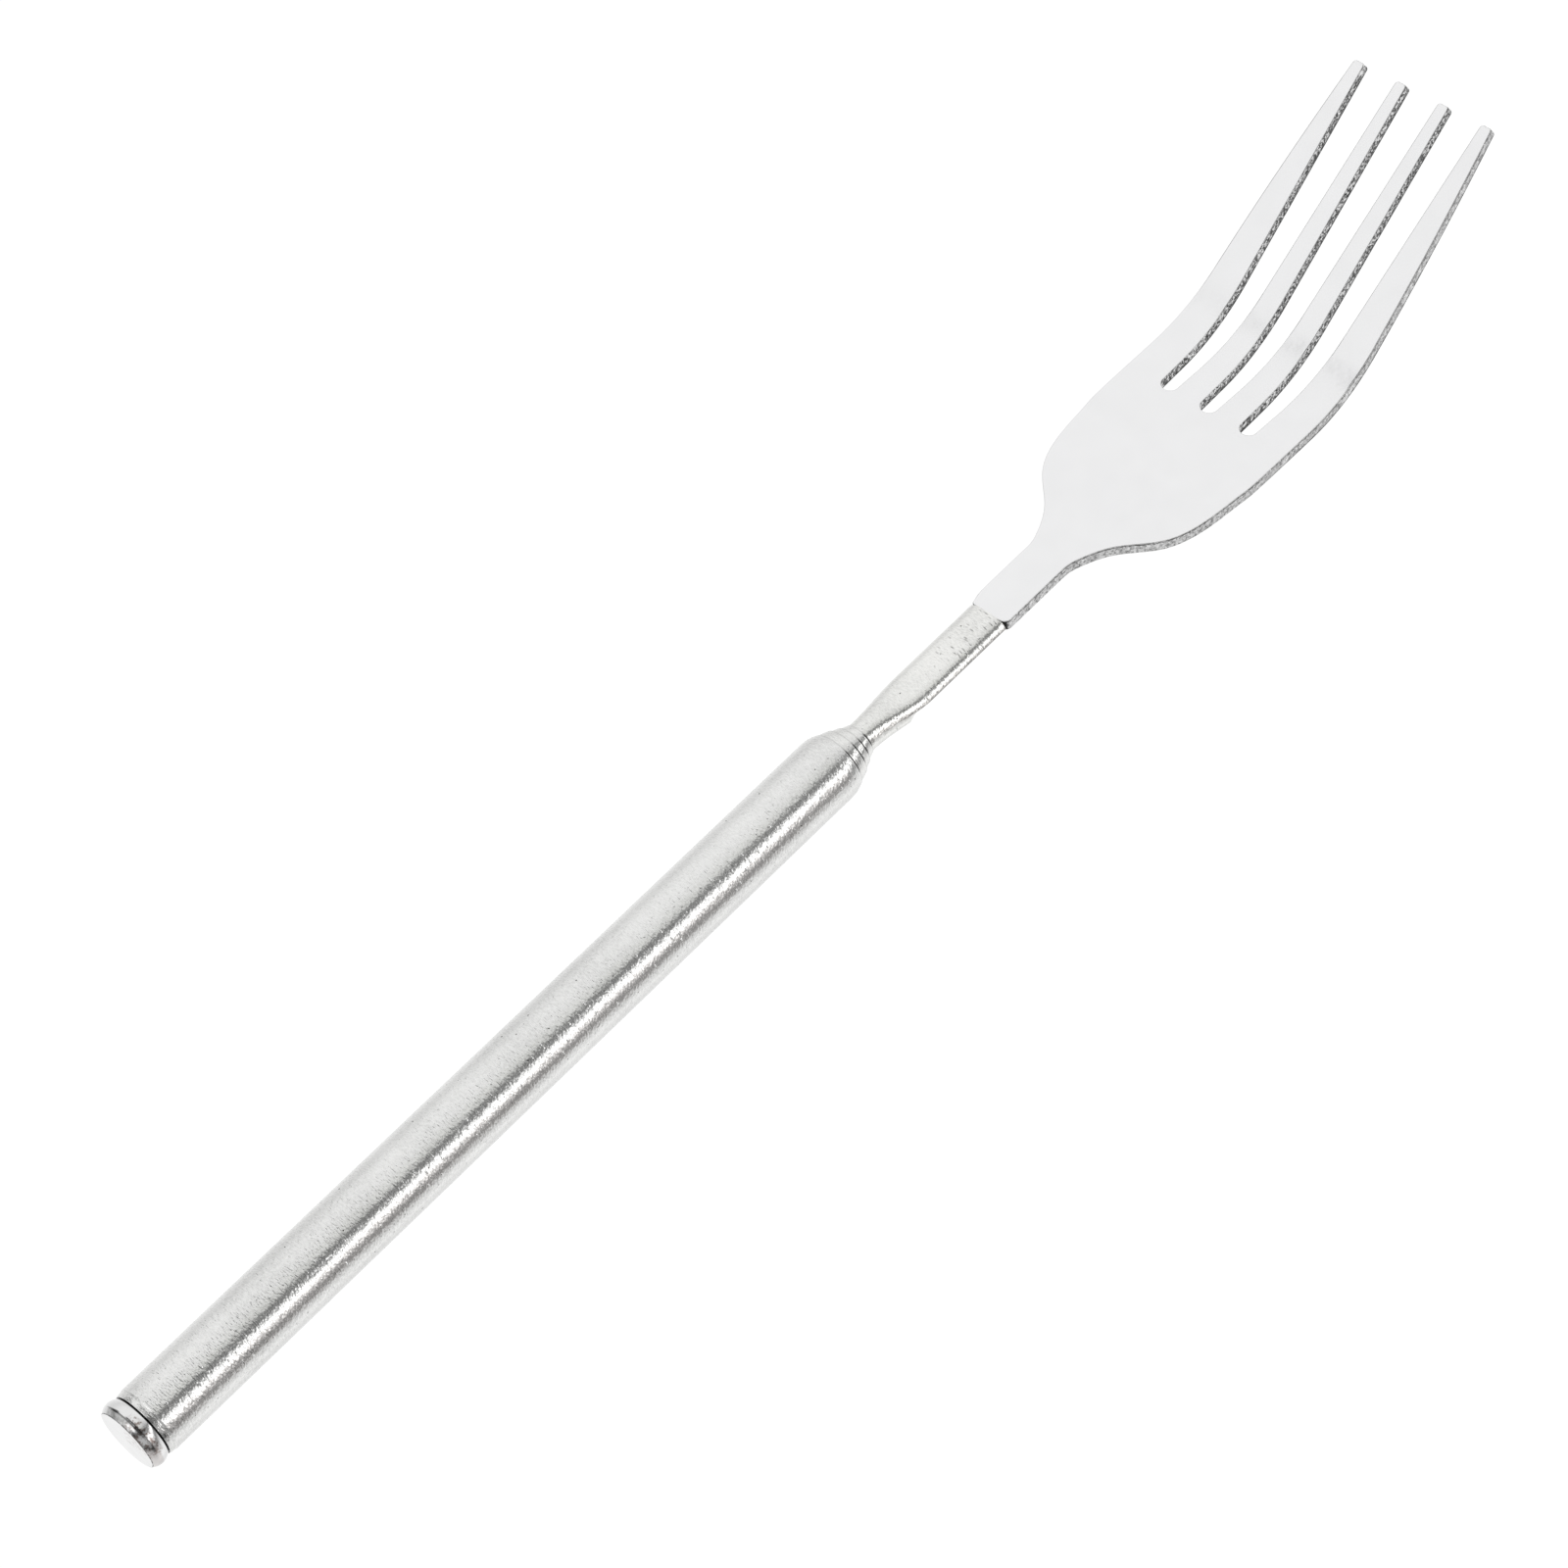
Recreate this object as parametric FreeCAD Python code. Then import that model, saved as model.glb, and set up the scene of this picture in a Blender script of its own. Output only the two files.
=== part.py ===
import FreeCAD, Part
import math
import os

# Telescopic stainless steel roasting fork, closed up.  Millimetres.
# +Y runs from the butt of the handle to the tips of the tines, +X is the width
# of the fork head and +Z is the side that the tines turn up to.  The finished
# parts have their origin at the centre of the flat face at the butt.  The Y
# dimensions below start at a plane across the end cap, 0.25 in front of that
# face, and save() moves every part forward by this much.

Vector = FreeCAD.Vector
ORIGIN = Vector(0, 0, 0)
LENGTHWAYS = Vector(0, 1, 0)

# --- driving dimensions: telescopic tubes ---------------------------------
handle_radius = 4.3
neck_radius = 2.0
slide_count = 4
tube_wall = 0.25
slide_clearance = 0.04
lip_wall = 0.14
swage_length = 2.0
lip_land = 0.35
mouth_ends = [113.6, 115.1, 116.3, 117.5]
travel = 100.0

# --- driving dimensions: butt of the handle -------------------------------
# (radius, y) points down the outside of the end cap, from its face to its rear edge
butt_face = -0.25
cap_face_edge = (3.8, butt_face)
cap_edge_middle = (3.9, -0.22)
cap_slope_start = (3.97, -0.15)
cap_slope_middle = (4.145, 0.1)
cap_bead_front = (4.28, 0.37)
cap_bead_crest = (4.38, 0.935)
cap_bead_rear = (4.28, 1.5)
cap_rear_middle = (4.18, 1.723)
cap_rear_edge = (4.05, 1.93)
cap_gap = 0.18
cap_waist_radius = 3.78
cap_waist_run = 0.28
cap_spigot_start = 3.28
cap_spigot_end = 5.2
cap_spigot_chamfer = 0.3
cap_fit_gap = 0.02
rolled_end_length = 1.1
rolled_end_radius = 4.08
rolled_bulge = 0.1
rolled_crest = (4.22, 0.62)
rolled_groove = (4.16, 0.74)
rolled_groove_front = 0.96

# --- driving dimensions: rear end of each sliding tube --------------------
first_bush_at = 5.3
bush_pitch = 1.6
bush_flange = 0.5
bush_stem = 1.0
bush_wall = 0.4
bush_running_gap = 0.05
stop_bead_width = 0.4
stop_bead_height = 0.12
stop_bead_to_mouth = 0.85
spring_thickness = 0.12
spring_end_gap = 0.1
spring_seat_gap = 0.02
spring_arc = 150.0
bush_fit_gap = 0.01

# --- driving dimensions: flattened front of the neck tube -----------------
round_neck_end = 117.8
press_edge = 123.6
press_edge_run = 0.9
flat_neck_start = 127.0
neck_end = 140.4
flat_half_width = 2.85
flat_half_height = 1.05
shoulder_end_angle = 24.0
pressed_corner_run = 0.75
underside_droop = 0.24
smallest_flat = 0.01

# --- driving dimensions: fork head ----------------------------------------
sheet = 1.6
tang_start = 128.5
tang_half_width = 1.75
tang_gap = 0.01
tang_root = 0.6
shank_start = 140.45
shank_half_width = 2.9
shank_right_corner = 0.9
shank_left_corner = 0.4
shank_left_rear = 2.55
shank_left_taper_end = 143.2
shank_end = 151.0
dip_start = 149.0
dip_angle = 1.7
dip_radius = 80.0
rise_start = 186.2
rise_angle = 31.0
rise_radius = 22.8
tip_reach = 224.8
blade_half_width = 12.45
blade_widest_at = 185.0
past_tips = 229.0
past_tip_half_width = 10.0
slot_root = 180.8
slot_root_radius = 1.15
outer_slot_centre = 6.15
tip_corner = 0.4
edge_round = 0.15
# the sheet before it is cut, and the upright prisms that cut it
blank_half_width = 15.0
cutter_bottom = -10.0
cutter_height = 40.0

radius_step = (handle_radius - neck_radius) / slide_count
tube_radii = [handle_radius - radius_step * index for index in range(slide_count + 1)]
sliding_names = ["second", "third", "fourth", "neck"]


def curve_edges(start, steps, to_vector):
    """Edges from start through steps: a point draws a line, a pair of points an arc."""
    edges = []
    here = start
    for step in steps:
        if isinstance(step[0], tuple):
            middle, end = step
            arc = Part.Arc(to_vector(here), to_vector(middle), to_vector(end))
            edges.append(arc.toShape())
            here = end
        else:
            edges.append(Part.LineSegment(to_vector(here), to_vector(step)).toShape())
            here = step
    return edges


def turned(start, steps, angle=360.0):
    """Solid turned about the Y axis from a (radius, y) profile, closed if need be."""
    last = steps[-1][1] if isinstance(steps[-1][0], tuple) else steps[-1]
    closing = [] if last == start else [start]
    edges = curve_edges(start, steps + closing, lambda point: Vector(point[0], point[1], 0))
    face = Part.Face(Part.Wire(edges))
    return face.revolve(ORIGIN, LENGTHWAYS, angle)


def sagging_arc(start, end):
    """Middle point of an arc that leaves start parallel to Y and reaches end."""
    drop = start[0] - end[0]
    run = end[1] - start[1]
    radius = (run * run + drop * drop) / (2 * drop)
    half_turn = math.asin(run / radius) / 2
    middle_radius = start[0] - radius * (1 - math.cos(half_turn))
    return (middle_radius, start[1] + radius * math.sin(half_turn))


def swaged_arc(start, end):
    """Profile step for a tube wall that curves in towards its mouth."""
    return (sagging_arc(start, end), end)


def mouth_steps(outer_radius, inner_radius, next_radius, end):
    """Profile steps round a swaged mouth, from the outside wall to the bore."""
    mouth_bore = next_radius + slide_clearance
    lip_radius = mouth_bore + lip_wall
    lip_round = lip_wall / 2
    swage_start = end - swage_length
    bore_start = (inner_radius, swage_start)
    bore_end = (mouth_bore, end - lip_land)
    return [
        (outer_radius, swage_start),
        swaged_arc((outer_radius, swage_start), (lip_radius, end - lip_round)),
        ((mouth_bore + lip_round, end), (mouth_bore, end - lip_round)),
        bore_end,
        (sagging_arc(bore_start, bore_end), bore_start),
    ]


def handle_tube():
    """Outer tube: rear end rolled down behind a shallow groove, front end swaged."""
    inner_radius = handle_radius - tube_wall
    rear = cap_rear_edge[1] + cap_gap
    roll_front = rear + rolled_end_length
    rolled_inside = rolled_end_radius - tube_wall
    crest = (rolled_crest[0], rear + rolled_crest[1])
    groove = (rolled_groove[0], rear + rolled_groove[1])
    groove_front = (handle_radius, rear + rolled_groove_front)
    crown = (rolled_end_radius + rolled_bulge, rear + rolled_crest[1] / 2)
    inner_middle = (inner_radius - rolled_bulge, rear + rolled_end_length / 2)
    steps = [
        (rolled_end_radius, rear),
        (crown, crest),
        groove,
        groove_front,
    ]
    steps += mouth_steps(handle_radius, inner_radius, tube_radii[1], mouth_ends[0])
    steps += [
        (inner_radius, roll_front),
        (inner_middle, (rolled_inside, rear)),
    ]
    return turned((rolled_inside, rear), steps)


def end_cap():
    """Turned button: flat face, sloped rim, bead, narrow waist and a spigot in the tube."""
    spigot_radius = handle_radius - tube_wall - cap_fit_gap
    waist_start = cap_rear_edge[1]
    steps = [
        cap_face_edge,
        (cap_edge_middle, cap_slope_start),
        (cap_slope_middle, cap_bead_front),
        (cap_bead_crest, cap_bead_rear),
        (cap_rear_middle, cap_rear_edge),
        (cap_waist_radius, waist_start),
        (cap_waist_radius, waist_start + cap_waist_run),
        (spigot_radius, cap_spigot_start),
        (spigot_radius, cap_spigot_end - cap_spigot_chamfer),
        (spigot_radius - cap_spigot_chamfer, cap_spigot_end),
        (0, cap_spigot_end),
    ]
    return turned((0, butt_face), steps)


def bush_rear(index):
    """Rear face of the bush of sliding tube 1 to 4."""
    return first_bush_at + bush_pitch * (index - 1)


def tube_rear(index):
    return bush_rear(index) + bush_flange


def stop_bead_front(index):
    """Where the stop bead ends, so that the tube slides out by the full travel."""
    return mouth_ends[index - 1] - stop_bead_to_mouth - travel


def rear_steps(index):
    """Outside profile of a sliding tube's rear end, with its rolled stop bead."""
    radius = tube_radii[index]
    front = stop_bead_front(index)
    rear = front - stop_bead_width
    crest = (radius + stop_bead_height, front - stop_bead_width / 2)
    return [
        (radius, tube_rear(index)),
        (radius, rear),
        (crest, (radius, front)),
    ]


def sliding_tube(index):
    """Plain middle tube: stop bead at the rear, swaged mouth at the front."""
    radius = tube_radii[index]
    inner_radius = radius - tube_wall
    steps = rear_steps(index)
    steps += mouth_steps(radius, inner_radius, tube_radii[index + 1], mouth_ends[index])
    return turned((inner_radius, tube_rear(index)), steps)


def rear_bush(index):
    """Turned brass bush: flange against the tube's end, stem inside its bore."""
    chamfer = 0.1
    flange_radius = tube_radii[index - 1] - tube_wall - bush_running_gap
    stem_radius = tube_radii[index] - tube_wall - bush_fit_gap
    hole_radius = stem_radius - bush_wall
    rear = bush_rear(index)
    flange_front = tube_rear(index)
    steps = [
        (flange_radius - chamfer, rear),
        (flange_radius, rear + chamfer),
        (flange_radius, flange_front),
        (stem_radius, flange_front),
        (stem_radius, flange_front + bush_stem),
        (hole_radius, flange_front + bush_stem),
    ]
    return turned((hole_radius, rear), steps)


def friction_spring(index, side):
    """Bowed half shell that rides between the bush and the stop bead."""
    seat = tube_radii[index] + spring_seat_gap
    bore = tube_radii[index - 1] - tube_wall
    crest = bore - spring_seat_gap
    rear = tube_rear(index) + spring_end_gap
    front = stop_bead_front(index) - stop_bead_width - spring_end_gap
    middle = (rear + front) / 2
    steps = [
        (seat + spring_thickness, rear),
        ((crest, middle), (seat + spring_thickness, front)),
        (seat, front),
        ((crest - spring_thickness, middle), (seat, rear)),
    ]
    shell = turned((seat, rear), steps, spring_arc)
    # turned() starts at +X and turns towards -Z, so centre the arc on +Z or -Z
    turn = spring_arc / 2 + 90 if side == "upper" else spring_arc / 2 - 90
    shell.rotate(ORIGIN, LENGTHWAYS, -turn)
    return shell


def stadium(half_width, round_radius, y):
    """Closed wire with two flats and two round sides, square to the Y axis."""
    flat = half_width - round_radius

    def place(x, z):
        return Vector(x, y, z)

    edges = [
        Part.LineSegment(place(-flat, round_radius), place(flat, round_radius)).toShape(),
        Part.Arc(place(flat, round_radius), place(half_width, 0),
                 place(flat, -round_radius)).toShape(),
        Part.LineSegment(place(flat, -round_radius), place(-flat, -round_radius)).toShape(),
        Part.Arc(place(-flat, -round_radius), place(-half_width, 0),
                 place(-flat, round_radius)).toShape(),
    ]
    return Part.Wire(edges)


def blended(start, end, share):
    return start + (end - start) * share


def neck_section(y, flattening, pressing, inset):
    """Wire round the neck at y: flat crown, round shoulders, round or pressed underside.

    flattening goes from 0, the round tube, to 1, the finished flat, and pressing
    goes from 0, a round underside, to 1, a flat one with a sharp edge each side.
    """
    low = math.radians(shoulder_end_angle)
    finished_crown = flat_half_width - neck_radius * math.cos(low)
    crown_half = blended(smallest_flat, finished_crown, flattening)
    top = blended(neck_radius, flat_half_height, flattening)
    centre_z = top - neck_radius
    shoulder = neck_radius - inset
    shoulder_angle = (math.pi / 2 + low) / 2
    edge_x = crown_half + shoulder * math.cos(low)
    edge_z = centre_z + shoulder * math.sin(low)
    depth = blended(neck_radius - underside_droop * flattening, flat_half_height, pressing)
    foot_half = blended(crown_half, edge_x - pressed_corner_run, pressing)
    foot_z = inset - depth
    # how far out and up the middle of the underside's curve lies, from foot to edge
    round_out, round_up = 0.918, 0.324
    pressed_out, pressed_up = 0.53, 0.47
    out_share = blended(round_out, pressed_out, pressing)
    up_share = blended(round_up, pressed_up, pressing)
    corners = [
        (crown_half, top - inset),
        (crown_half + shoulder * math.cos(shoulder_angle),
         centre_z + shoulder * math.sin(shoulder_angle)),
        (edge_x, edge_z),
        (blended(foot_half, edge_x, out_share), blended(foot_z, edge_z, up_share)),
        (foot_half, foot_z),
    ]
    right = [Vector(x, y, z) for x, z in corners]
    left = [Vector(-x, y, z) for x, z in corners]
    edges = [
        Part.LineSegment(left[0], right[0]),
        Part.Arc(right[0], right[1], right[2]),
        Part.Arc(right[2], right[3], right[4]),
        Part.LineSegment(right[4], left[4]),
        Part.Arc(left[4], left[3], left[2]),
        Part.Arc(left[2], left[1], left[0]),
    ]
    return Part.Wire([edge.toShape() for edge in edges])


def neck_loft(start, end, sections, pressing_start, pressing_end, inset):
    """Solid through evenly spaced neck sections from start to end."""
    wires = []
    for index in range(sections):
        share = index / (sections - 1)
        y = blended(start, end, share)
        along = (y - round_neck_end) / (flat_neck_start - round_neck_end)
        flattening = along * along * (3 - 2 * along)
        pressing = blended(pressing_start, pressing_end, share)
        wires.append(neck_section(y, flattening, pressing, inset))
    return Part.makeLoft(wires, True, sections == 2)


def flattened(inset):
    """Front of the neck less an inset: the crown flattens slowly, the underside at once."""
    press_end = press_edge + press_edge_run
    flat_face = Part.Face(neck_section(flat_neck_start, 1, 1, inset))
    return neck_loft(round_neck_end, press_edge, 4, 0, 0, inset).fuse([
        neck_loft(press_edge, press_end, 2, 0, 1, inset),
        neck_loft(press_end, flat_neck_start, 4, 1, 1, inset),
        flat_face.extrude(Vector(0, neck_end - flat_neck_start, 0)),
    ])


def neck_tube():
    """Innermost tube: round where it slides, flattened over the fork head's tang."""
    index = slide_count
    inner_radius = neck_radius - tube_wall
    steps = rear_steps(index) + [
        (neck_radius, round_neck_end),
        (inner_radius, round_neck_end),
    ]
    round_part = turned((inner_radius, tube_rear(index)), steps)
    flat_part = flattened(0).cut(flattened(tube_wall))
    return round_part.fuse(flat_part).removeSplitter()


def sheet_path():
    """Middle line of the fork head's sheet: (turn in degrees, radius or length)."""
    dip = math.radians(dip_angle)
    dip_run = dip_radius * math.sin(dip)
    slope_run = (rise_start - dip_start - dip_run) / math.cos(dip)
    rise = math.radians(rise_angle)
    bend_run = rise_radius * (math.sin(rise) + math.sin(dip))
    tine_run = (tip_reach - rise_start - bend_run) / math.cos(rise)
    return [
        (0, dip_start - shank_start),
        (-dip_angle, dip_radius),
        (0, slope_run),
        (dip_angle + rise_angle, rise_radius),
        (0, tine_run),
    ]


def sheet_side(offset):
    """One face of the bent sheet: a start point and steps in (y, z)."""
    y = shank_start
    z = 0.0
    heading = 0.0

    def shifted(turn_y, turn_z, angle):
        return (turn_y - offset * math.sin(angle), turn_z + offset * math.cos(angle))

    start = shifted(y, z, heading)
    steps = []
    for turn, size in sheet_path():
        if turn == 0:
            y += size * math.cos(heading)
            z += size * math.sin(heading)
            steps.append(shifted(y, z, heading))
            continue
        sign = math.copysign(1, turn)
        points = []
        for share in (0.5, 1.0):
            angle = heading + math.radians(turn) * share
            part_y = y + sign * size * (math.sin(angle) - math.sin(heading))
            part_z = z - sign * size * (math.cos(angle) - math.cos(heading))
            points.append((part_y, part_z, angle))
        steps.append((shifted(*points[0]), shifted(*points[1])))
        y, z, heading = points[1]
    return start, steps


def bent_sheet():
    """The whole sheet, bent to shape and wider than the fork head."""
    def to_vector(point):
        return Vector(-blank_half_width, point[0], point[1])

    top_start, top_steps = sheet_side(sheet / 2)
    bottom_start, bottom_steps = sheet_side(-sheet / 2)
    top_edges = curve_edges(top_start, top_steps, to_vector)
    bottom_edges = curve_edges(bottom_start, bottom_steps, to_vector)
    rear_edge = Part.LineSegment(to_vector(bottom_start), to_vector(top_start)).toShape()
    tip_edge = Part.LineSegment(to_vector(top_steps[-1]), to_vector(bottom_steps[-1])).toShape()
    wire = Part.Wire(Part.__sortEdges__(top_edges + [tip_edge] + bottom_edges + [rear_edge]))
    return Part.Face(wire).extrude(Vector(2 * blank_half_width, 0, 0))


def blade_half_edges(side):
    """Outline of one side of the head, from the shank's corner to past the tip."""
    def place(x, y):
        return Vector(side * x, y, 0)

    if side > 0:
        corner_round = shank_right_corner
        rear_half = shank_half_width
        straight_start = shank_start + shank_right_corner
    else:
        corner_round = shank_left_corner
        rear_half = shank_left_rear
        straight_start = shank_left_taper_end
    lean = corner_round * (1 - math.sqrt(0.5))
    corner_end = place(rear_half, shank_start + corner_round)
    corner = Part.Arc(
        place(rear_half - corner_round, shank_start),
        place(rear_half - lean, shank_start + lean),
        corner_end,
    )
    curves = [corner]
    if side < 0:
        taper = shank_half_width - rear_half
        taper_middle = (corner_end.y + straight_start) / 2
        curves.append(Part.Arc(
            corner_end,
            place(shank_half_width - taper / 4, taper_middle),
            place(shank_half_width, straight_start),
        ))
    curves.append(Part.LineSegment(
        place(shank_half_width, straight_start),
        place(shank_half_width, shank_end),
    ))
    flare = Part.BSplineCurve()
    flare_points = [
        place(shank_half_width, shank_end),
        place(3.5, 153.6),
        place(5.3, 157.0),
        place(9.2, 161.2),
        place(11.3, 166.0),
        place(12.1, 172.0),
        place(blade_half_width, blade_widest_at),
    ]
    straight_on = Vector(0, 1, 0)
    flare.interpolate(flare_points, InitialTangent=straight_on, FinalTangent=straight_on)
    tine = Part.Arc(
        place(blade_half_width, blade_widest_at),
        place(11.95, 205.0),
        place(past_tip_half_width, past_tips),
    )
    return [curve.toShape() for curve in curves + [flare, tine]]


def blade_outline():
    """Upright prism with the head's outline, tall enough for the whole sheet."""
    rear = Part.LineSegment(
        Vector(shank_left_corner - shank_left_rear, shank_start, 0),
        Vector(shank_half_width - shank_right_corner, shank_start, 0),
    ).toShape()
    front = Part.LineSegment(
        Vector(-past_tip_half_width, past_tips, 0), Vector(past_tip_half_width, past_tips, 0)
    ).toShape()
    edges = blade_half_edges(1) + blade_half_edges(-1) + [rear, front]
    face = Part.Face(Part.Wire(Part.__sortEdges__(edges)))
    face.translate(Vector(0, 0, cutter_bottom))
    return face.extrude(Vector(0, 0, cutter_height))


def slot_prism(left_root, right_root, left_tip, right_tip):
    """Upright prism for one gap between two tines, open at the tips."""
    centre = (left_root + right_root) / 2
    root_y = slot_root + (right_root - left_root) / 2
    open_y = past_tips + 1
    start = (left_root, root_y)
    steps = [
        ((centre, slot_root), (right_root, root_y)),
        (right_tip, open_y),
        (left_tip, open_y),
        start,
    ]
    edges = curve_edges(start, steps, lambda point: Vector(point[0], point[1], cutter_bottom))
    return Part.Face(Part.Wire(edges)).extrude(Vector(0, 0, cutter_height))


def tine_slots():
    middle_tip = 2.6
    outer_tip_left = 3.9
    outer_tip_right = 9.1
    inner_edge = outer_slot_centre - slot_root_radius
    outer_edge = outer_slot_centre + slot_root_radius
    return [
        slot_prism(-slot_root_radius, slot_root_radius, -middle_tip, middle_tip),
        slot_prism(inner_edge, outer_edge, outer_tip_left, outer_tip_right),
        slot_prism(-outer_edge, -inner_edge, -outer_tip_right, -outer_tip_left),
    ]


def fork_head():
    head = bent_sheet().common(blade_outline())
    for slot in tine_slots():
        head = head.cut(slot)
    head = head.Solids[0]
    tip_edges = [
        edge for edge in head.Edges
        if edge.CenterOfMass.y > tip_reach - 1 and runs_through_sheet(edge)
    ]
    head = head.makeFillet(tip_corner, tip_edges)
    rims = [edge for edge in head.Edges if is_rim(edge)]
    head = head.makeFillet(edge_round, rims)
    tang_wire = stadium(tang_half_width, sheet / 2 - tang_gap, tang_start)
    tang_run = Vector(0, shank_start - tang_start + tang_root, 0)
    tang = Part.Face(tang_wire).extrude(tang_run)
    return head.fuse(tang).removeSplitter()


def middle_of(edge):
    """Middle point of an edge and the direction it runs in there."""
    first, last = edge.ParameterRange
    halfway = (first + last) / 2
    return edge.valueAt(halfway), edge.tangentAt(halfway)


def runs_through_sheet(edge):
    """True for the short upright edges from the top of the sheet to the bottom."""
    tangent = middle_of(edge)[1]
    return abs(edge.Length - sheet) < 0.05 and abs(tangent.x) < 0.5


def is_rim(edge):
    """True for the edges where the top or bottom of the sheet meets its sides."""
    middle, tangent = middle_of(edge)
    across_bend = abs(tangent.x) > 0.999 and middle.y < tip_reach - 1
    at_tang = middle.y < shank_start + 0.01
    return not (across_bend or at_tang or runs_through_sheet(edge))


def save(name, shape):
    print(name, "solids", len(shape.Solids), "valid", shape.isValid(),
          "volume %.2f" % shape.Volume)
    shape.translate(Vector(0, -butt_face, 0))
    shape.exportStep("parts/%s.step" % name)


os.makedirs("parts", exist_ok=True)
save("handle_tube", handle_tube())
save("end_cap", end_cap())
for number, name in enumerate(sliding_names, start=1):
    tube = neck_tube() if name == "neck" else sliding_tube(number)
    save("%s_tube" % name, tube)
    save("%s_bush" % name, rear_bush(number))
    save("%s_spring_upper" % name, friction_spring(number, "upper"))
    save("%s_spring_lower" % name, friction_spring(number, "lower"))
save("fork_head", fork_head())
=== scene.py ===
import math

import bpy
from mathutils import Matrix, Vector


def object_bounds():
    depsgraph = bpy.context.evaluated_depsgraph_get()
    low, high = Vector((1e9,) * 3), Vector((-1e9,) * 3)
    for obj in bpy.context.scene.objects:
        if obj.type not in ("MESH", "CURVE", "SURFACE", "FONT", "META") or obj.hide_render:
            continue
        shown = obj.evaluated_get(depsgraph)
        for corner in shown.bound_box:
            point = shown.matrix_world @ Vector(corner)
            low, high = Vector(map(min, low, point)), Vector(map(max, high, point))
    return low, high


# The closed-up telescopic fork, tines up.  Metres, the CAD frame:
# +Y from the butt to the tines, +X across the head, +Z the side the tines rise to.
MM = 0.001
SLIDING = ("second", "third", "fourth", "neck")

# Camera, as seen from above the fork's right side, beyond the butt
LENS = 102.27
SENSOR_WIDTH = 36.0
CAMERA_DISTANCE = 0.515
CAMERA_AZIMUTH = 51.2
CAMERA_ELEVATION = 52.5
CAMERA_ROLL = -11.1
AIM_ACROSS = -2.0 * MM
AIM_SHARE = 0.4746
AIM_UP = 1.2 * MM

# Lengthways measures below are in mm from a plane this far in front of the butt face
DATUM = 0.25

# Seam between the end cap's bead and the handle tube, painted black as shade in the gap
CAP_SEAM_START = 1.9
CAP_SEAM_END = 2.13

# Where each tube's swaged mouth ends
MOUTHS = {"handle": 113.6, "second": 115.1, "third": 116.3, "fourth": 117.5}

# Fork head: its sheet falls slightly from the shank on, then bends up into the tines
FALL_START = 150.2
FALL_SLOPE = 0.0297
TINE_BEND_START = 186.2
TINE_BEND_END = 198.6
TINE_BEND_CENTRE = 186.88
TINE_BEND_RADIUS = 22.8
TINE_SLOPE = math.radians(31)

# Paints that several pieces share: black for painted shade and painted dark reflections, a grey
# stain, and brown and pinkish painted reflection tints
SHADE_AND_REFLECTION_BLACK = (0.02, 0.02, 0.02)
GREY_STAIN = (0.1, 0.095, 0.09)
BROWN_REFLECTION = (0.2, 0.14, 0.12)
PINKISH_REFLECTION = (0.42, 0.36, 0.34)

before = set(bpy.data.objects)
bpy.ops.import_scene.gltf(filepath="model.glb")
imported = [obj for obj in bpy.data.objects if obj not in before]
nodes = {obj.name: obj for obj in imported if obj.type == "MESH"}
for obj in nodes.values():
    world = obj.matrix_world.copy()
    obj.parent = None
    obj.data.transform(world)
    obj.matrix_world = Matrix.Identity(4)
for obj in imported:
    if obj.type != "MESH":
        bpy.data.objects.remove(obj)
cad_low, cad_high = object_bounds()


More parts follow.
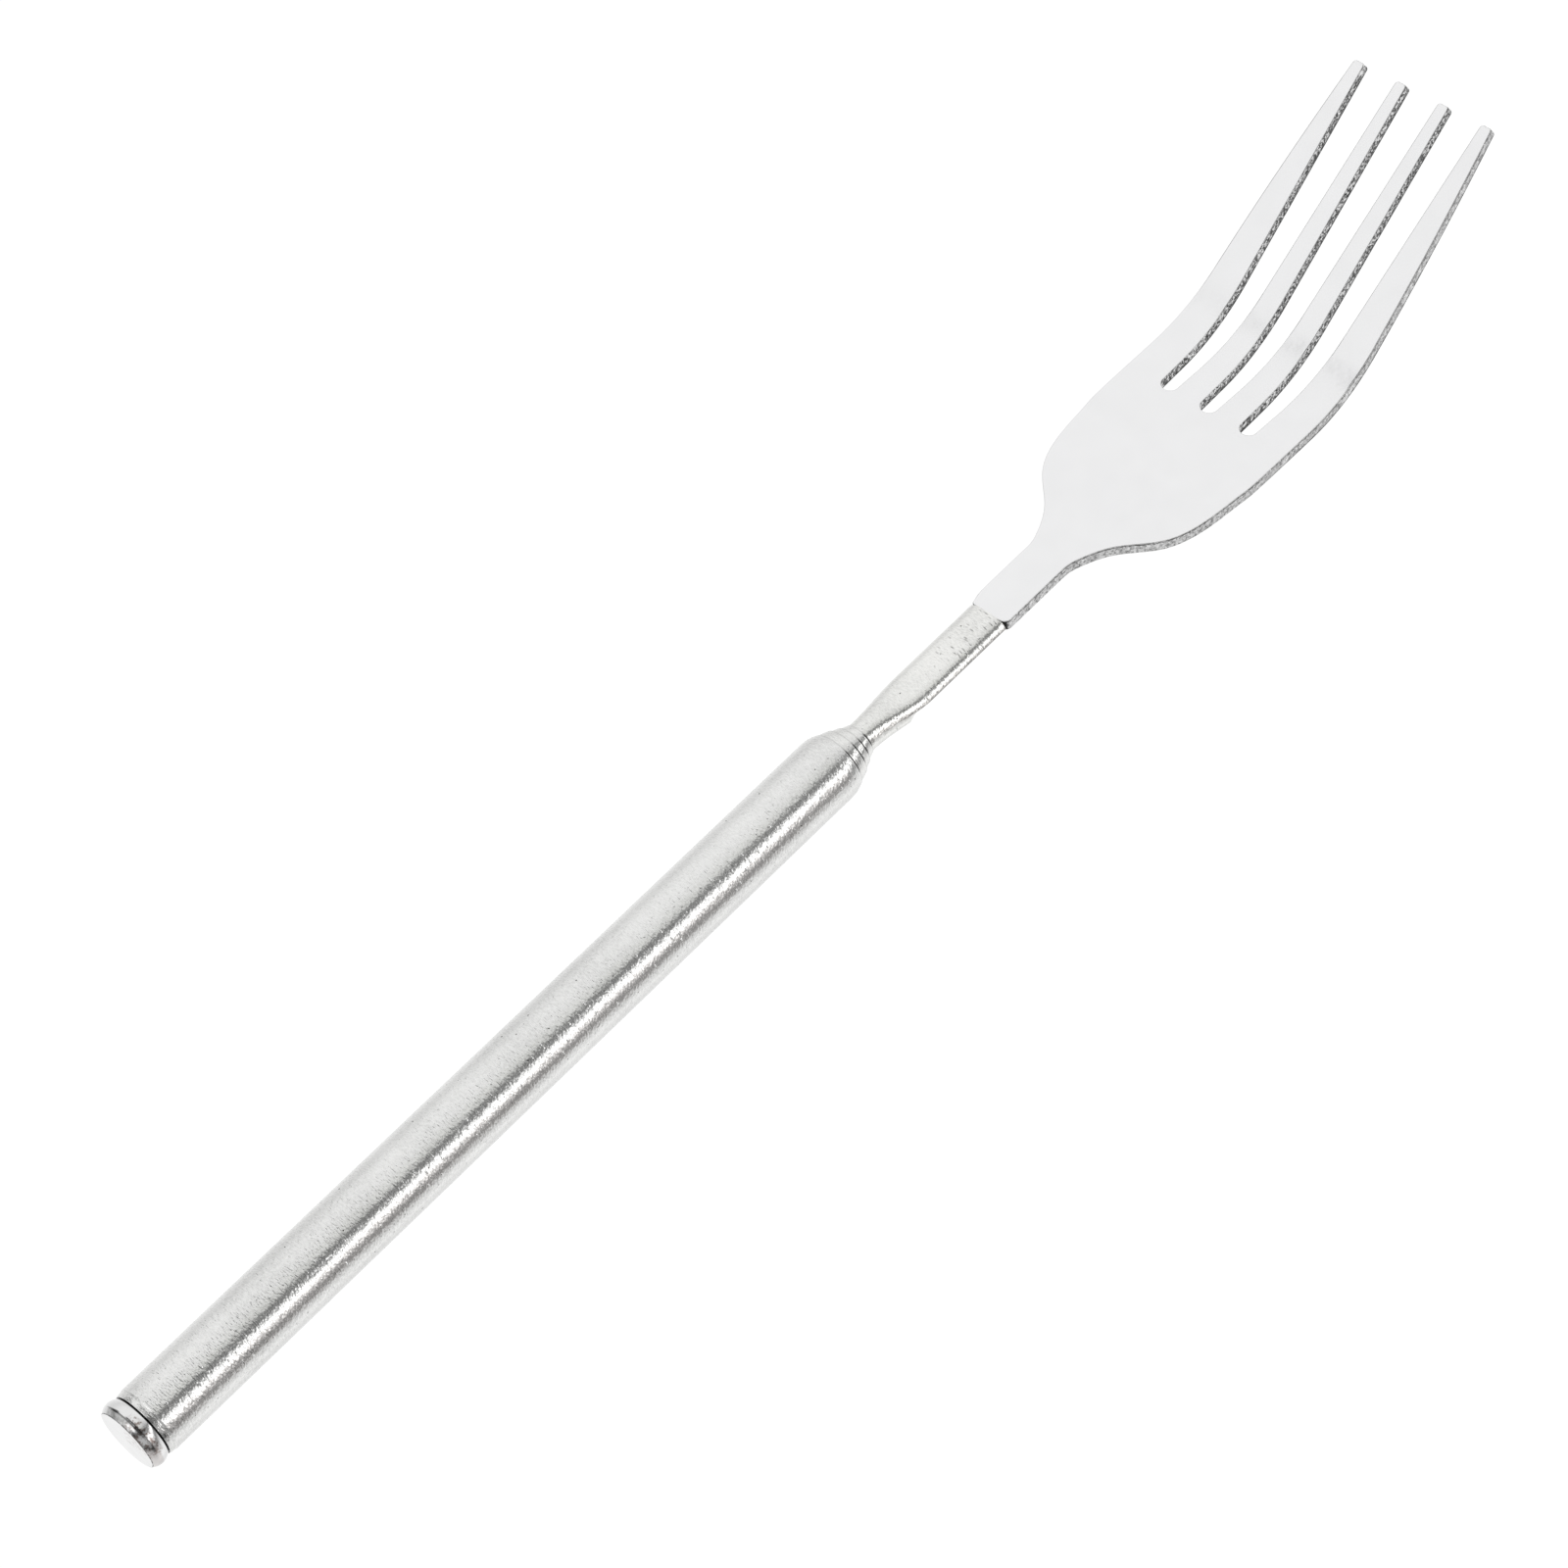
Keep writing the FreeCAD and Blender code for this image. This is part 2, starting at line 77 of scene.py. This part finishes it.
# --- node helpers -----------------------------------------------------------
class Graph:
    """Short names for the shader nodes that the materials share."""

    def __init__(self, tree):
        self.tree = tree
        tree.nodes.clear()

    def add(self, kind, **settings):
        node = self.tree.nodes.new(kind)
        for name, value in settings.items():
            setattr(node, name, value)
        return node

    def feed(self, socket, value):
        if isinstance(value, bpy.types.NodeSocket):
            self.tree.links.new(value, socket)
        elif value is not None:
            socket.default_value = value

    def math(self, operation, a, b=None):
        node = self.add("ShaderNodeMath", operation=operation)
        self.feed(node.inputs[0], a)
        self.feed(node.inputs[1], b)
        return node.outputs[0]

    def product(self, first, *factors):
        for factor in factors:
            first = self.math("MULTIPLY", first, factor)
        return first

    def total(self, first, *terms):
        for term in terms:
            first = self.math("ADD", first, term)
        return first

    def scaled(self, vector, scale, location=(0, 0, 0)):
        node = self.add("ShaderNodeMapping")
        self.feed(node.inputs["Vector"], vector)
        node.inputs["Scale"].default_value = scale
        node.inputs["Location"].default_value = location
        return node.outputs[0]

    def along_x(self, value):
        node = self.add("ShaderNodeCombineXYZ")
        self.feed(node.inputs[0], value)
        return node.outputs[0]

    def noise(self, vector, scale=1.0, detail=3.0, roughness=0.5):
        node = self.add("ShaderNodeTexNoise")
        self.feed(node.inputs["Vector"], vector)
        node.inputs["Scale"].default_value = scale
        node.inputs["Detail"].default_value = detail
        node.inputs["Roughness"].default_value = roughness
        return node.outputs["Fac"]

    def spots(self, vector, scale=1.0):
        node = self.add("ShaderNodeTexVoronoi")
        self.feed(node.inputs["Vector"], vector)
        node.inputs["Scale"].default_value = scale
        return node.outputs["Distance"]

    def spread(self, value, low, high, to_low=0.0, to_high=1.0, smooth=False):
        node = self.add("ShaderNodeMapRange", clamp=True)
        if smooth:
            node.interpolation_type = "SMOOTHSTEP"
        for socket, number in zip(node.inputs, (value, low, high, to_low, to_high)):
            self.feed(socket, number)
        return node.outputs[0]

    def ramp(self, value, stops):
        node = self.add("ShaderNodeValToRGB")
        elements = node.color_ramp.elements
        elements.remove(elements[1])
        elements[0].position = stops[0][0]
        elements[0].color = (*stops[0][1], 1.0)
        for place, colour in stops[1:]:
            elements.new(place).color = (*colour, 1.0)
        self.feed(node.inputs[0], value)
        return node.outputs[0]

    def blend(self, share, a, b, kind="MIX"):
        node = self.add("ShaderNodeMix", data_type="RGBA", blend_type=kind)
        self.feed(node.inputs[0], share)
        for socket, value in ((node.inputs[6], a), (node.inputs[7], b)):
            self.feed(socket, (*value, 1.0) if isinstance(value, tuple) else value)
        return node.outputs[2]

    def bump(self, height, depth, under=None, strength=1.0):
        """Relief of this depth in mm, on top of another bump."""
        node = self.add("ShaderNodeBump")
        node.inputs["Strength"].default_value = strength
        node.inputs["Distance"].default_value = depth * MM
        self.feed(node.inputs["Height"], height)
        if under is not None:
            self.feed(node.inputs["Normal"], under)
        return node.outputs[0]


def metal(name):
    """New metal material: its graph, place in millimetres from the datum, shader."""
    material = bpy.data.materials.new(name)
    material.use_nodes = True
    graph = Graph(material.node_tree)
    output = graph.add("ShaderNodeOutputMaterial")
    shader = graph.add("ShaderNodeBsdfPrincipled")
    graph.tree.links.new(shader.outputs[0], output.inputs["Surface"])
    shader.inputs["Metallic"].default_value = 1.0
    where = graph.add("ShaderNodeTexCoord")
    per_mm = 1 / MM
    in_mm = graph.scaled(where.outputs["Object"], (per_mm, per_mm, per_mm), (0, -DATUM, 0))
    return material, graph, in_mm, shader


def axial_gloss(graph, shader, amount):
    """Gloss that a ring-brushed tube draws out along its length."""
    tangent = graph.add("ShaderNodeTangent", direction_type="RADIAL", axis="Y")
    graph.feed(shader.inputs["Tangent"], tangent.outputs[0])
    shader.inputs["Anisotropic"].default_value = amount
    shader.inputs["Anisotropic Rotation"].default_value = 0.25


def shade(colour, share):
    """The colour with every channel at this share."""
    return tuple(channel * share for channel in colour)


def xyz(graph, vector):
    """The three numbers of a vector socket."""
    apart = graph.add("ShaderNodeSeparateXYZ")
    graph.feed(apart.inputs[0], vector)
    return apart.outputs[0], apart.outputs[1], apart.outputs[2]


def between(graph, value, low, high, fade):
    """1 where value lies from low to high and 0 beyond, with soft ends."""
    rising = graph.spread(value, low - fade, low, smooth=True)
    falling = graph.spread(value, high + fade, high, smooth=True)
    return graph.product(rising, falling)


def streaks(graph, in_mm, across, along, detail, roughness=0.5):
    """Noise of one fineness across the fork and another along it, in features per mm."""
    return graph.noise(graph.scaled(in_mm, (across, along, across)), 1.0, detail, roughness)


def specks(graph, in_mm, spacing, radius, stretch=1.0):
    """Sparse specks drawn out round the girth: 1 at the middle of each, 0 between."""
    across = 1 / (spacing * stretch)
    near = graph.spots(graph.scaled(in_mm, (across, 1 / spacing, across)))
    return graph.spread(near, radius, 0.0)


# --- materials --------------------------------------------------------------
def brushed_tube(name, colour, mouth=None, scuffed=False):
    """Stainless tube brushed round its girth: fine rings, ripple, dents and dark specks."""
    material, graph, in_mm, shader = metal(name)
    x, y, z = xyz(graph, in_mm)
    rings = streaks(graph, in_mm, across=0.7, along=6.0, detail=3.0, roughness=0.6)
    grit = streaks(graph, in_mm, across=2.2, along=5.5, detail=4.0, roughness=0.65)
    ripple = streaks(graph, in_mm, across=2.0, along=4.4, detail=1.0)
    patches = graph.noise(in_mm, scale=0.12, detail=2.0)
    dents = specks(graph, in_mm, spacing=0.8, radius=0.17, stretch=1.4)
    away_from_dents = graph.scaled(in_mm, (1, 1, 1), (7.3, 2.1, 4.4))
    dirt = specks(graph, away_from_dents, spacing=1.9, radius=0.06)
    grit_share = 0.75
    tone = graph.total(graph.product(grit, grit_share), graph.product(patches, 1 - grit_share))
    brightest = 0.95
    lighter = tuple(min(channel, brightest) for channel in shade(colour, 1.09))
    painted = graph.ramp(tone, [(0.34, shade(colour, 0.82)), (0.5, colour), (0.66, lighter)])
    painted = graph.blend(graph.spread(dirt, 0.0, 0.3), painted, GREY_STAIN)
    # painted shade in the seam where the tube meets the end cap
    seam_shade = between(graph, y, CAP_SEAM_START, CAP_SEAM_END, 0.03)
    painted = graph.blend(seam_shade, painted, SHADE_AND_REFLECTION_BLACK)
    relief = graph.bump(rings, depth=0.02)
    relief = graph.bump(ripple, depth=0.055, under=relief)
    relief = graph.bump(dents, depth=0.05, under=relief)
    if mouth is not None:
        # dark ring painted on the rim of the swaged mouth: painted shade in the gap to the next
        # tube, strongest on its right-hand shoulder, where it stands in for a dark reflection
        rim = between(graph, y, mouth - 0.2, mouth + 0.1, 0.03)
        shoulder = between(graph, graph.math("ARCTAN2", z, x), 0.45, 0.95, 0.3)
        mouth_rim_shade = graph.product(rim, graph.spread(shoulder, 0.0, 1.0, 0.15, 0.95))
        painted = graph.blend(mouth_rim_shade, painted, SHADE_AND_REFLECTION_BLACK)
    if scuffed:
        # tool marks where the tube was pressed over the tang
        pressed_along = between(graph, y, 132.5, 140, 1.5)
        pressed_across = between(graph, x, -0.6, 2.2, 1.0)
        ticks = specks(graph, in_mm, spacing=0.36, radius=0.3, stretch=3.5)
        marks = graph.product(pressed_along, pressed_across, ticks)
        relief = graph.bump(marks, depth=0.08, under=relief)
        painted = graph.blend(graph.product(marks, 0.6), painted, GREY_STAIN)
    graph.feed(shader.inputs["Base Color"], painted)
    graph.feed(shader.inputs["Roughness"], graph.spread(grit, 0.3, 0.7, 0.09, 0.19))
    graph.feed(shader.inputs["Normal"], relief)
    axial_gloss(graph, shader, 0.4)
    return material


def polished_cap(name, colour):
    """Bright turned button: faint rings, a broken dark line round its rim, and brown and pinkish
    reflections and shade painted on its shoulder.
    """
    material, graph, in_mm, shader = metal(name)
    x, y, z = xyz(graph, in_mm)
    radius = graph.math("SQRT", graph.total(graph.product(x, x), graph.product(z, z)))
    angle = graph.math("ARCTAN2", z, x)
    lines_per_mm = 14.0
    lines = graph.noise(graph.scaled(graph.along_x(radius), (lines_per_mm, 1, 1)), detail=2.0)
    clouds = graph.noise(in_mm, scale=0.5, detail=3.0)
    fine = graph.noise(in_mm, scale=2.6, detail=3.0, roughness=0.6)
    painted = graph.ramp(clouds, [(0.3, shade(colour, 0.93)), (0.7, colour)])
    # brown reflections painted on the right-hand shoulder of the bead
    brown_reflection = graph.product(
        between(graph, angle, 0.35, 1.2, 0.35), between(graph, y, -0.1, 1.3, 0.3),
        graph.spread(fine, 0.46, 0.6))
    painted = graph.blend(graph.product(brown_reflection, 0.85), painted, BROWN_REFLECTION)
    # pinkish reflection painted on the right-hand side of the sloped rim and bead
    pinkish_reflection = graph.product(
        between(graph, angle, -0.45, 0.35, 0.2), between(graph, y, -0.1, 0.9, 0.2))
    painted = graph.blend(graph.product(pinkish_reflection, 0.4), painted, PINKISH_REFLECTION)
    # dark reflection painted as a line between the sloped rim and the bead, along its top
    dark_reflection_line = graph.product(
        between(graph, y, 0.44, 0.56, 0.05), between(graph, angle, 1.0, 2.0, 0.4))
    painted = graph.blend(graph.product(dark_reflection_line, 0.75), painted, (0.05, 0.05, 0.05))
    # painted shade on the sloped rim, up on its left-hand side
    slope_shade = graph.product(
        between(graph, y, -0.15, 0.44, 0.05), between(graph, angle, 1.42, 2.1, 0.14),
        graph.spread(fine, 0.35, 0.6, 0.25, 0.6))
    painted = graph.blend(slope_shade, painted, (0.2, 0.2, 0.19))
    # broken dark line painted round the edge of the face
    rim_dark_dots = graph.product(
        between(graph, y, -0.225, -0.17, 0.015), graph.spread(fine, 0.4, 0.52, 0.3, 1.0))
    painted = graph.blend(graph.product(rim_dark_dots, 0.9), painted, (0.04, 0.04, 0.04))
    # painted shade behind the bead, from the seam to the hidden end of the spigot
    shade_behind_bead = between(graph, y, CAP_SEAM_START + 0.01, 9.0, 0.03)
    painted = graph.blend(shade_behind_bead, painted, SHADE_AND_REFLECTION_BLACK)
    graph.feed(shader.inputs["Base Color"], painted)
    graph.feed(shader.inputs["Roughness"], graph.spread(clouds, 0.3, 0.7, 0.05, 0.1))
    relief = graph.bump(lines, depth=0.01, strength=0.12)
    relief = graph.bump(fine, depth=0.012, under=relief)
    relief = graph.bump(clouds, depth=0.06, under=relief, strength=0.2)
    graph.feed(shader.inputs["Normal"], relief)
    return material


def sheet_slope(graph, y):
    """How steeply the fork head's sheet rises at y, in radians."""
    return graph.spread(y, TINE_BEND_START, TINE_BEND_END, 0.0, TINE_SLOPE)


def sheet_height(graph, y, z):
    """Height above the middle of the fork head's sheet, square to the sheet."""
    fall = FALL_SLOPE * (TINE_BEND_START - FALL_START)
    fallen = graph.spread(y, FALL_START, TINE_BEND_START, 0.0, fall)
    along_bend = graph.spread(y, TINE_BEND_START, TINE_BEND_END,
        TINE_BEND_START - TINE_BEND_CENTRE, TINE_BEND_END - TINE_BEND_CENTRE)
    square = graph.product(along_bend, along_bend)
    to_centre = graph.math("SQRT", graph.math("SUBTRACT", TINE_BEND_RADIUS ** 2, square))
    risen = graph.math("SUBTRACT", TINE_BEND_RADIUS, to_centre)
    past_bend = graph.math("MAXIMUM", graph.math("SUBTRACT", y, TINE_BEND_END), 0.0)
    climbed = graph.product(past_bend, math.tan(TINE_SLOPE))
    middle = graph.math("SUBTRACT", graph.total(risen, climbed), fallen)
    above = graph.math("SUBTRACT", z, middle)
    return graph.product(above, graph.math("COSINE", sheet_slope(graph, y)))


def stamped_head(name, colour):
    """Tumbled sheet: soft polished faces, and torn, speckled sides with dark edges."""
    material, graph, in_mm, shader = metal(name)
    x, y, z = xyz(graph, in_mm)
    n_x, n_y, n_z = xyz(graph, graph.add("ShaderNodeTexCoord").outputs["Normal"])
    # how squarely the surface faces out of the sheet, which bends up at the tines
    slope = sheet_slope(graph, y)
    upright = graph.product(n_z, graph.math("COSINE", slope))
    leaning = graph.product(n_y, graph.math("SINE", slope))
    facing = graph.math("ABSOLUTE", graph.math("SUBTRACT", upright, leaning))
    # painted light: the left-hand sides take the faces' bright colour, while the right-hand sides
    # keep the darker torn side colour
    left_side_lightened = graph.spread(n_x, 0.0, -0.2)
    face = graph.math("MAXIMUM", graph.spread(facing, 0.6, 0.8, smooth=True), left_side_lightened)
    side = graph.math("SUBTRACT", 1.0, face)
    # the sides of the slots lie inside the outer tines, ahead of the slots' rear ends
    off_centre = graph.math("ABSOLUTE", x)
    in_slot = graph.product(graph.spread(off_centre, 9.75, 9.55), graph.spread(y, 179.5, 180.0))
    height = sheet_height(graph, y, z)
    clouds = graph.noise(in_mm, scale=0.22, detail=3.0)
    grain = graph.noise(in_mm, scale=3.5, detail=4.0, roughness=0.7)
    torn = streaks(graph, in_mm, across=2.3, along=2.3, detail=3.0, roughness=0.75)
    tearing = graph.noise(graph.scaled(in_mm, (0.45, 0.45, 1.2)), detail=2.0)
    flakes_and_glints = specks(graph, in_mm, spacing=0.5, radius=0.34)
    face_colour = graph.ramp(clouds, [(0.3, shade(colour, 0.975)), (0.7, colour)])
    bright_side = graph.ramp(torn, [(0.38, (0.25,) * 3), (0.47, (0.55,) * 3), (0.6, (0.85,) * 3)])
    # painted shade inside the narrow slots: their sides are painted darker than the outer sides,
    # and lighter towards the top of the sheet
    slot_torn_and_shade = graph.total(torn, graph.product(height, 0.05))
    shaded_slot_side = graph.ramp(slot_torn_and_shade, [
        (0.42, (0.015,) * 3), (0.49, (0.12,) * 3), (0.55, (0.36,) * 3), (0.6, (1.0,) * 3)])
    side_colour = graph.blend(in_slot, bright_side, shaded_slot_side)
    side_colour = graph.blend(graph.spread(tearing, 0.4, 0.6, 0.3, 0.0), side_colour, (0.2,) * 3)
    # white specks painted on the sides as glints, more of them towards the top of the sheet
    glint_share = graph.product(
        graph.spread(flakes_and_glints, 0.0, 0.3), graph.spread(height, -0.5, 0.3, 0.15, 1.0))
    side_colour = graph.blend(glint_share, side_colour, (0.95,) * 3)
    # dark reflections painted as lines along the top and bottom edges of the sides
    top_line = graph.product(
        between(graph, height, 0.56, 0.64, 0.03), graph.spread(in_slot, 0.0, 1.0, 0.95, 0.35))
    bottom_line = graph.product(
        graph.spread(height, -0.42, -0.54), graph.spread(y, 178.0, 184.0))
    lines = graph.math("MAXIMUM", top_line, bottom_line)
    lines = graph.product(lines, graph.spread(tearing, 0.35, 0.6, 1.0, 0.7))
    side_colour = graph.blend(lines, side_colour, SHADE_AND_REFLECTION_BLACK)
    painted = graph.blend(face, side_colour, face_colour)
    # painted shade where the shank meets the end of the neck tube
    seam_shade = graph.product(graph.spread(y, 140.95, 140.75), graph.spread(facing, 0.6, 0.4))
    painted = graph.blend(seam_shade, painted, SHADE_AND_REFLECTION_BLACK)
    graph.feed(shader.inputs["Base Color"], painted)
    face_rough = graph.spread(grain, 0.3, 0.7, 0.13, 0.2)
    side_rough = graph.spread(torn, 0.3, 0.7, 0.5, 0.25)
    rough = graph.total(graph.product(face, face_rough), graph.product(side, side_rough))
    graph.feed(shader.inputs["Roughness"], rough)
    relief = graph.bump(clouds, depth=0.25, strength=0.25)
    relief = graph.bump(grain, depth=0.02, under=relief, strength=0.12)
    relief = graph.bump(graph.product(side, torn), depth=0.12, under=relief)
    relief = graph.bump(graph.product(side, flakes_and_glints), depth=0.06, under=relief)
    graph.feed(shader.inputs["Normal"], relief)
    return material


def turned_brass(name, colour):
    """Bar-turned bush: fine rings and a slight tarnish."""
    material, graph, in_mm, shader = metal(name)
    rings = streaks(graph, in_mm, across=0.5, along=16.0, detail=2.0)
    tarnish = graph.noise(in_mm, scale=0.8, detail=3.0)
    painted = graph.ramp(tarnish, [(0.35, shade(colour, 0.7)), (0.6, colour)])
    graph.feed(shader.inputs["Base Color"], painted)
    graph.feed(shader.inputs["Roughness"], graph.spread(rings, 0.3, 0.7, 0.2, 0.36))
    graph.feed(shader.inputs["Normal"], graph.bump(rings, depth=0.02, strength=0.4))
    return material


def spring_strip(name, colour):
    """Rolled phosphor bronze: grain along the strip and burnished contact bands."""
    material, graph, in_mm, shader = metal(name)
    grain = streaks(graph, in_mm, across=6.0, along=0.6, detail=3.0)
    worn = graph.noise(in_mm, scale=0.9, detail=2.0)
    painted = graph.ramp(worn, [(0.35, shade(colour, 0.75)), (0.65, colour)])
    graph.feed(shader.inputs["Base Color"], painted)
    graph.feed(shader.inputs["Roughness"], graph.spread(worn, 0.3, 0.7, 0.18, 0.4))
    graph.feed(shader.inputs["Normal"], graph.bump(grain, depth=0.015, strength=0.3))
    return material


def finish_nodes():
    """Gives every CAD node its material."""
    sliding_steel = (0.8, 0.8, 0.785)
    brass = turned_brass("bush_brass", (0.78, 0.62, 0.32))
    bronze = spring_strip("spring_bronze", (0.72, 0.48, 0.28))
    chosen = {
        "handle_tube": brushed_tube("handle_brushed", (0.78, 0.78, 0.77), MOUTHS["handle"]),
        "neck_tube": brushed_tube("neck_pressed", (0.82, 0.82, 0.8), scuffed=True),
        "end_cap": polished_cap("cap_polished", (0.84, 0.84, 0.84)),
        "fork_head": stamped_head("head_tumbled", (0.86, 0.86, 0.865)),
    }
    for name in SLIDING:
        if name in MOUTHS:
            chosen[name + "_tube"] = brushed_tube(name + "_brushed", sliding_steel, MOUTHS[name])
        chosen[name + "_bush"] = brass
        chosen[name + "_spring_upper"] = bronze
        chosen[name + "_spring_lower"] = bronze
    for name, material in chosen.items():
        node = nodes[name]
        node.data.materials.clear()
        node.data.materials.append(material)


# --- studio -----------------------------------------------------------------
def floor():
    """Plain pale floor, low enough for the fork head to turn right over above it."""
    half = 20.0
    clearance = 1.0 * MM
    head_reach = math.hypot(cad_high[0], cad_high[2])
    mesh = bpy.data.meshes.new("floor")
    z = -head_reach - clearance
    corners = [(-half, -half, z), (half, -half, z), (half, half, z), (-half, half, z)]
    mesh.from_pydata(corners, [], [(0, 1, 2, 3)])
    plane = bpy.data.objects.new("floor", mesh)
    bpy.context.scene.collection.objects.link(plane)
    material = bpy.data.materials.new("floor_pale")
    material.use_nodes = True
    shader = material.node_tree.nodes["Principled BSDF"]
    shader.inputs["Base Color"].default_value = (0.2, 0.2, 0.2, 1)
    shader.inputs["Roughness"].default_value = 0.9
    shader.inputs["Specular IOR Level"].default_value = 0.0
    shader.inputs["Emission Color"].default_value = (1, 1, 1, 1)
    shader.inputs["Emission Strength"].default_value = 0.9
    mesh.materials.append(material)
    # polished metal mirrors the light tent below the horizon, not this floor
    plane.visible_glossy = False


# Tints of the light tent, as shares of red, green and blue
NEUTRAL = (1.0, 1.0, 1.0)
WARM = (1.02, 0.99, 0.98)
COOL = (0.995, 1.0, 0.98)


def grey_stops(stops, low, high, top):
    """Colour ramp stops from (place, level, tint), with places in low to high."""
    made = []
    for place, level, *tint in stops:
        colour = tint[0] if tint else NEUTRAL
        made.append(((place - low) / (high - low), shade(colour, level / top)))
    return made


def studio_light():
    """Soft white tent with dark gaps: brightness by direction round the fork's long axis.

    Degrees run from the +X horizon (0) over the top (90) to the -X horizon (180),
    and below the horizon from -180 to 0.
    """
    brightest = 2.0
    all_round = [
        (-180, 0.82), (-150, 0.95), (-120, 1.0), (-84, 0.88), (-52, 1.1), (-30, 0.78),
        (-20, 0.5, WARM), (-13, 0.28, WARM), (-7, 0.33, WARM), (0, 0.56, WARM), (7, 0.85, WARM),
        (13, 1.4, WARM), (20, 1.8), (27, 1.5), (33, 0.8), (39, 0.36), (47, 0.19),
        (54, 0.4, COOL), (60, 0.66, COOL), (70, 0.86, COOL), (90, 0.95), (120, 1.0),
        (145, 0.95), (165, 0.84), (175, 0.79), (180, 0.82),
    ]
    # What the turned end of the handle sees beyond the butt
    beyond_butt = [
        (-180, 0.75), (-120, 1.0), (-60, 0.95), (-30, 0.6), (-12, 0.12), (5, 0.5), (25, 0.55),
        (48, 0.2), (66, 0.18), (78, 0.75), (108, 0.95), (116, 1.0), (134, 1.0), (142, 0.8),
        (160, 0.45), (180, 0.75),
    ]
    # What the swaged mouths see past the far end of the strip light
    beyond_tines = [
        (-180, 0.82), (-120, 1.0), (-52, 1.0), (-30, 0.72), (-13, 0.35), (0, 0.3), (10, 0.9),
        (20, 1.7), (30, 1.2), (38, 0.35), (50, 0.3), (60, 0.65), (90, 0.93), (120, 1.0),
        (145, 0.95), (175, 0.8), (180, 0.82),
    ]
    # How much of the light is left in the gap between the overhead light and the butt's
    gap_shade = [
        (-180, 1.0), (-30, 1.0), (-12, 0.3), (8, 0.5), (50, 0.3), (60, 0.12), (106, 0.15),
        (115, 1.0), (133, 1.0), (144, 0.25), (160, 0.3), (174, 1.0), (180, 1.0),
    ]
    world = bpy.data.worlds.new("studio")
    bpy.context.scene.world = world
    world.use_nodes = True
    graph = Graph(world.node_tree)
    output = graph.add("ShaderNodeOutputWorld")
    background = graph.add("ShaderNodeBackground")
    where = graph.add("ShaderNodeTexCoord")
    # the direction's lengthways part, and its turn round the fork's axis from 0 to 1
    across, along, up = xyz(graph, where.outputs["Generated"])
    turn = graph.spread(graph.math("ARCTAN2", up, across), -math.pi, math.pi)
    main = graph.ramp(turn, grey_stops(all_round, -180, 180, brightest))
    butt = graph.ramp(turn, grey_stops(beyond_butt, -180, 180, brightest))
    tines = graph.ramp(turn, grey_stops(beyond_tines, -180, 180, brightest))
    shadow = graph.ramp(turn, grey_stops(gap_shade, -180, 180, 1.0))
    towards_tines = graph.spread(along, 0.46, 0.56, smooth=True)
    towards_butt = graph.spread(along, 0.0, -0.16, smooth=True)
    level = graph.blend(towards_butt, graph.blend(towards_tines, main, tines), butt)
    # dark gap between the overhead light and the one beyond the butt
    gap_middle = -0.12
    from_gap = graph.math("ABSOLUTE", graph.math("SUBTRACT", along, gap_middle))
    in_gap = graph.spread(from_gap, 0.13, 0.05, smooth=True)
    level = graph.blend(in_gap, level, shadow, "MULTIPLY")
    # small lamp beyond the butt, high up
    lamp = graph.product(
        between(graph, along, -0.72, -0.67, 0.06), between(graph, turn, 0.69, 0.78, 0.03))
    level = graph.blend(lamp, level, (0.8, 0.8, 0.8))
    graph.feed(background.inputs["Color"], level)
    background.inputs["Strength"].default_value = brightest
    graph.tree.links.new(background.outputs[0], output.inputs["Surface"])


def camera():
    """Camera at the photographed viewing angle, aimed at a point on the fork's axis."""
    azimuth = math.radians(CAMERA_AZIMUTH)
    elevation = math.radians(CAMERA_ELEVATION)
    away = Vector((
        math.cos(elevation) * math.sin(azimuth),
        -math.cos(elevation) * math.cos(azimuth),
        math.sin(elevation),
    ))
    length = cad_high[1] - cad_low[1]
    aim = Vector((AIM_ACROSS, cad_low[1] + AIM_SHARE * length, AIM_UP))
    right = Vector((0, 0, 1)).cross(away).normalized()
    up = away.cross(right)
    turn = math.radians(CAMERA_ROLL)
    rolled_right = right * math.cos(turn) + up * math.sin(turn)
    rolled_up = up * math.cos(turn) - right * math.sin(turn)
    data = bpy.data.cameras.new("camera")
    data.lens = LENS
    data.sensor_width = SENSOR_WIDTH
    data.clip_start = 0.01
    view = bpy.data.objects.new("camera", data)
    bpy.context.scene.collection.objects.link(view)
    turned = Matrix((rolled_right, rolled_up, away)).transposed().to_4x4()
    view.matrix_world = Matrix.Translation(aim + away * CAMERA_DISTANCE) @ turned
    bpy.context.scene.camera = view


finish_nodes()
floor()
studio_light()
camera()
bpy.context.scene.view_settings.view_transform = "Standard"
